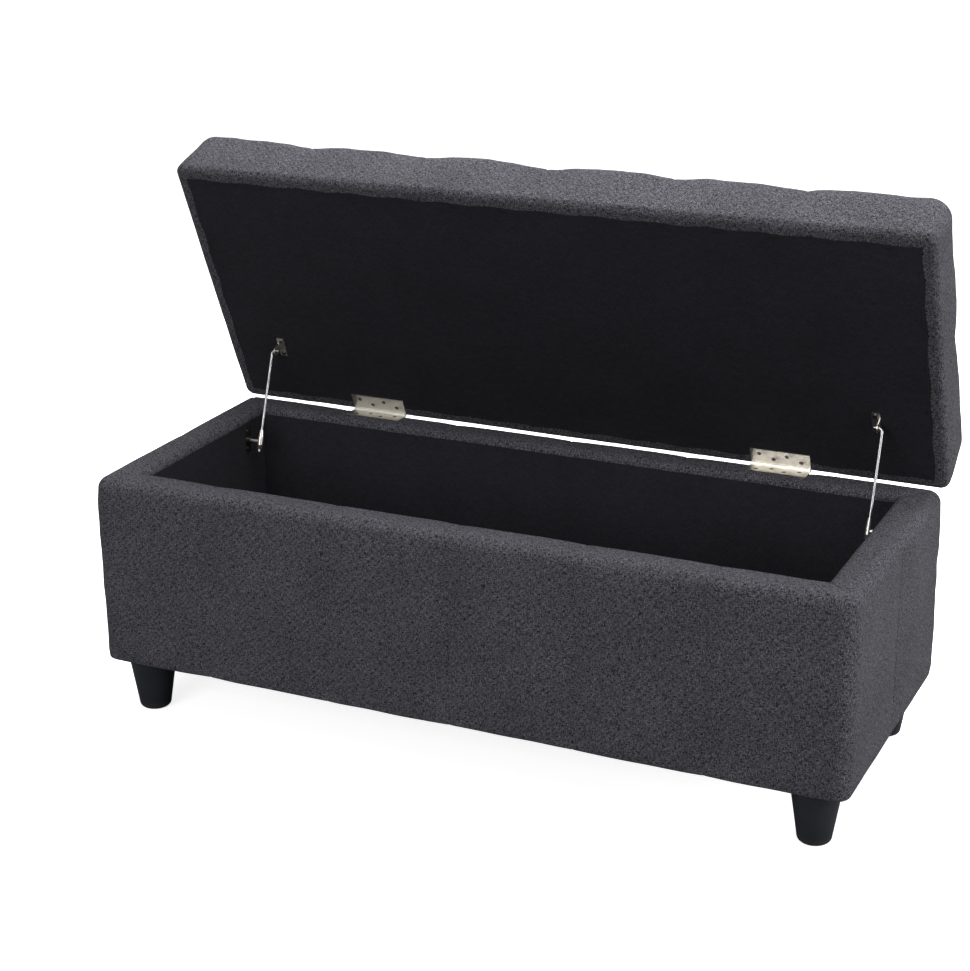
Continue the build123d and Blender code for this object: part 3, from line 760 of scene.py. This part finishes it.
# scalloped outline between the staples
reach = np.exp(-edge / 0.012)
wave_x = np.sin(sx * 2 * math.pi / STAPLE_PITCH + 0.6 * ripple(place, 0.3, 81))
wave_y = np.sin(sy * 2 * math.pi / STAPLE_PITCH + 0.6 * ripple(place, 0.3, 82))
shift_y = reach * 0.0012 * wave_x * np.sign(sy) * smooth((0.03 - edge_y) / 0.03)
shift_x = reach * 0.0012 * wave_y * np.sign(sx) * smooth((0.03 - edge_x) / 0.03)
tension = 0.5 * ripple(place, 0.40, 83, (0.55, 1.3, 1)) + 0.35 * ripple(place, 0.16, 84, (0.5, 1.4, 1))
tension = tension + 0.2 * np.sin(sx * 2 * math.pi / STAPLE_PITCH) * np.exp(-edge / 0.035)
proud = -0.0005 - 0.0004 * np.exp(-edge / 0.004) + 0.0009 * tension * smooth(edge / 0.02)
proud = np.clip(proud, -0.0013, 0.0013)
near_hinges = np.zeros_like(sx)
for leaf in ("hinge_lid_leaf_left", "hinge_lid_leaf_right"):
    leaf_low, leaf_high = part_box(leaf)
    beside = smooth((0.012 - np.maximum(leaf_low.x - sx, sx - leaf_high.x)) / 0.012)
    near_hinges = np.maximum(near_hinges, beside * smooth((sy - (lid_half[1] - 0.045)) / 0.015))
proud = proud * (1 - near_hinges) - 0.0002 * near_hinges
local = np.stack([sx + shift_x + lid_mid[0], sy + shift_y + lid_mid[1], bottom + proud], -1)
rows, cols = sx.shape
faces, marks = sheet_faces(rows, cols, False, flip=True)
uv = [[(sx[i, j] + 1, sy[i, j] + 1) for i, j in mark] for mark in marks]
lid_lining_cloth = make_mesh("lid_lining_cloth", lid_place(local).reshape(-1, 3), faces, uv)
dress(lid_lining_cloth, lining_cloth)
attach(lid_lining_cloth, "lid")
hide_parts("lid_lining")

# ---- finishes of the CAD nodes that show as they are ----
for name, obj in frame["nodes"].items():
    if obj.hide_render:
        continue
    if name.startswith("foot_") and "bolt" not in name and "insert" not in name:
        dress(obj, foot_lacquer)
    elif name.startswith("stay_stop"):
        dress(obj, black_rubber)
    elif name.startswith("stay_rod"):
        dress(obj, bright_rod)
    elif name == "lid_staples":
        dress(obj, black_steel)
    elif "screws" in name or name.startswith(("foot_bolts", "foot_inserts", "stay_wall")):
        dress(obj, dull_steel)
    elif name.startswith(("hinge", "stay")):
        dress(obj, nickel)
    else:
        dress(obj, bare_wood)

# ---- studio: pale floor, white surround, soft lights ----
bpy.ops.mesh.primitive_plane_add(size=60, location=(0, 0, -0.0005))
floor = bpy.context.object
floor.name = "studio_floor"
material, tree, body = shader("floor_white")
body.inputs["Base Color"].default_value = (0.90, 0.90, 0.90, 1)
body.inputs["Roughness"].default_value = 0.9
body.inputs["Emission Color"].default_value = (1, 1, 1, 1)
body.inputs["Emission Strength"].default_value = 0.82
# the floor looks white, but throws little light back up at the bench
dim = node(tree, "ShaderNodeBsdfDiffuse", {"Color": (0.22, 0.22, 0.22, 1)})
rays = tree.nodes.new("ShaderNodeLightPath")
chosen = node(
    tree, "ShaderNodeMixShader", {0: rays.outputs["Is Camera Ray"], 1: dim.outputs[0], 2: body.outputs[0]}
)
surface = next(n for n in tree.nodes if n.type == "OUTPUT_MATERIAL")
tree.links.new(chosen.outputs[0], surface.inputs["Surface"])
floor.data.materials.append(material)

world = bpy.data.worlds.new("studio")
bpy.context.scene.world = world
world.use_nodes = True
tree = world.node_tree
tree.nodes.clear()
out = tree.nodes.new("ShaderNodeOutputWorld")
seen = node(tree, "ShaderNodeBackground", {"Color": (1, 1, 1, 1), "Strength": 1.0})
lights = node(tree, "ShaderNodeBackground", {"Color": (0.96, 0.98, 1.0, 1), "Strength": 0.24})
rays = tree.nodes.new("ShaderNodeLightPath")
chosen = node(
    tree, "ShaderNodeMixShader", {0: rays.outputs["Is Camera Ray"], 1: lights.outputs[0], 2: seen.outputs[0]}
)
tree.links.new(chosen.outputs[0], out.inputs["Surface"])


def softbox(name, place, target, size, power):
    """A rectangular lamp turned towards its target."""
    data = bpy.data.lights.new(name, "AREA")
    data.shape = "RECTANGLE"
    data.size, data.size_y = size
    data.energy = power
    lamp = bpy.data.objects.new(name, data)
    bpy.context.scene.collection.objects.link(lamp)
    lamp.location = place
    lamp.rotation_mode = "QUATERNION"
    lamp.rotation_quaternion = (Vector(target) - Vector(place)).to_track_quat("-Z", "Y")


softbox("overhead", (0.2, -0.9, 3.1), (0, 0, 0.4), (2.8, 2.0), 50)
softbox("right_side", (3.6, 0.2, 1.5), (0.3, 0, 0.4), (2.2, 2.0), 109)
softbox("front_fill", (-0.8, -4.2, 2.0), (0, 0, 0.4), (2.4, 1.8), 66)
softbox("behind", (0.0, 1.8, 3.0), (0, 0, 0.7), (2.6, 1.2), 150)

# ---- camera: where the photograph was taken from ----
LENS = 81.17239958805355  # mm, on a sensor 36 mm wide
CAMERA_PLACE = (1.1846, box_mid - 2.6614, 1.4069)
CAMERA_YAW = math.radians(24.8)
CAMERA_DOWN = math.radians(19.73)
CAMERA_ROLL = math.radians(-0.37)
data = bpy.data.cameras.new("camera")
data.sensor_width = 36.0
data.lens = LENS
data.clip_end = 100
camera = bpy.data.objects.new("camera", data)
bpy.context.scene.collection.objects.link(camera)
level = math.radians(90)
turned = Matrix.Rotation(CAMERA_YAW, 4, "Z") @ Matrix.Rotation(level - CAMERA_DOWN, 4, "X")
turned = turned @ Matrix.Rotation(CAMERA_ROLL, 4, "Z")
camera.matrix_world = Matrix.Translation(CAMERA_PLACE) @ turned
bpy.context.scene.camera = camera
bpy.context.scene.view_settings.view_transform = "Standard"
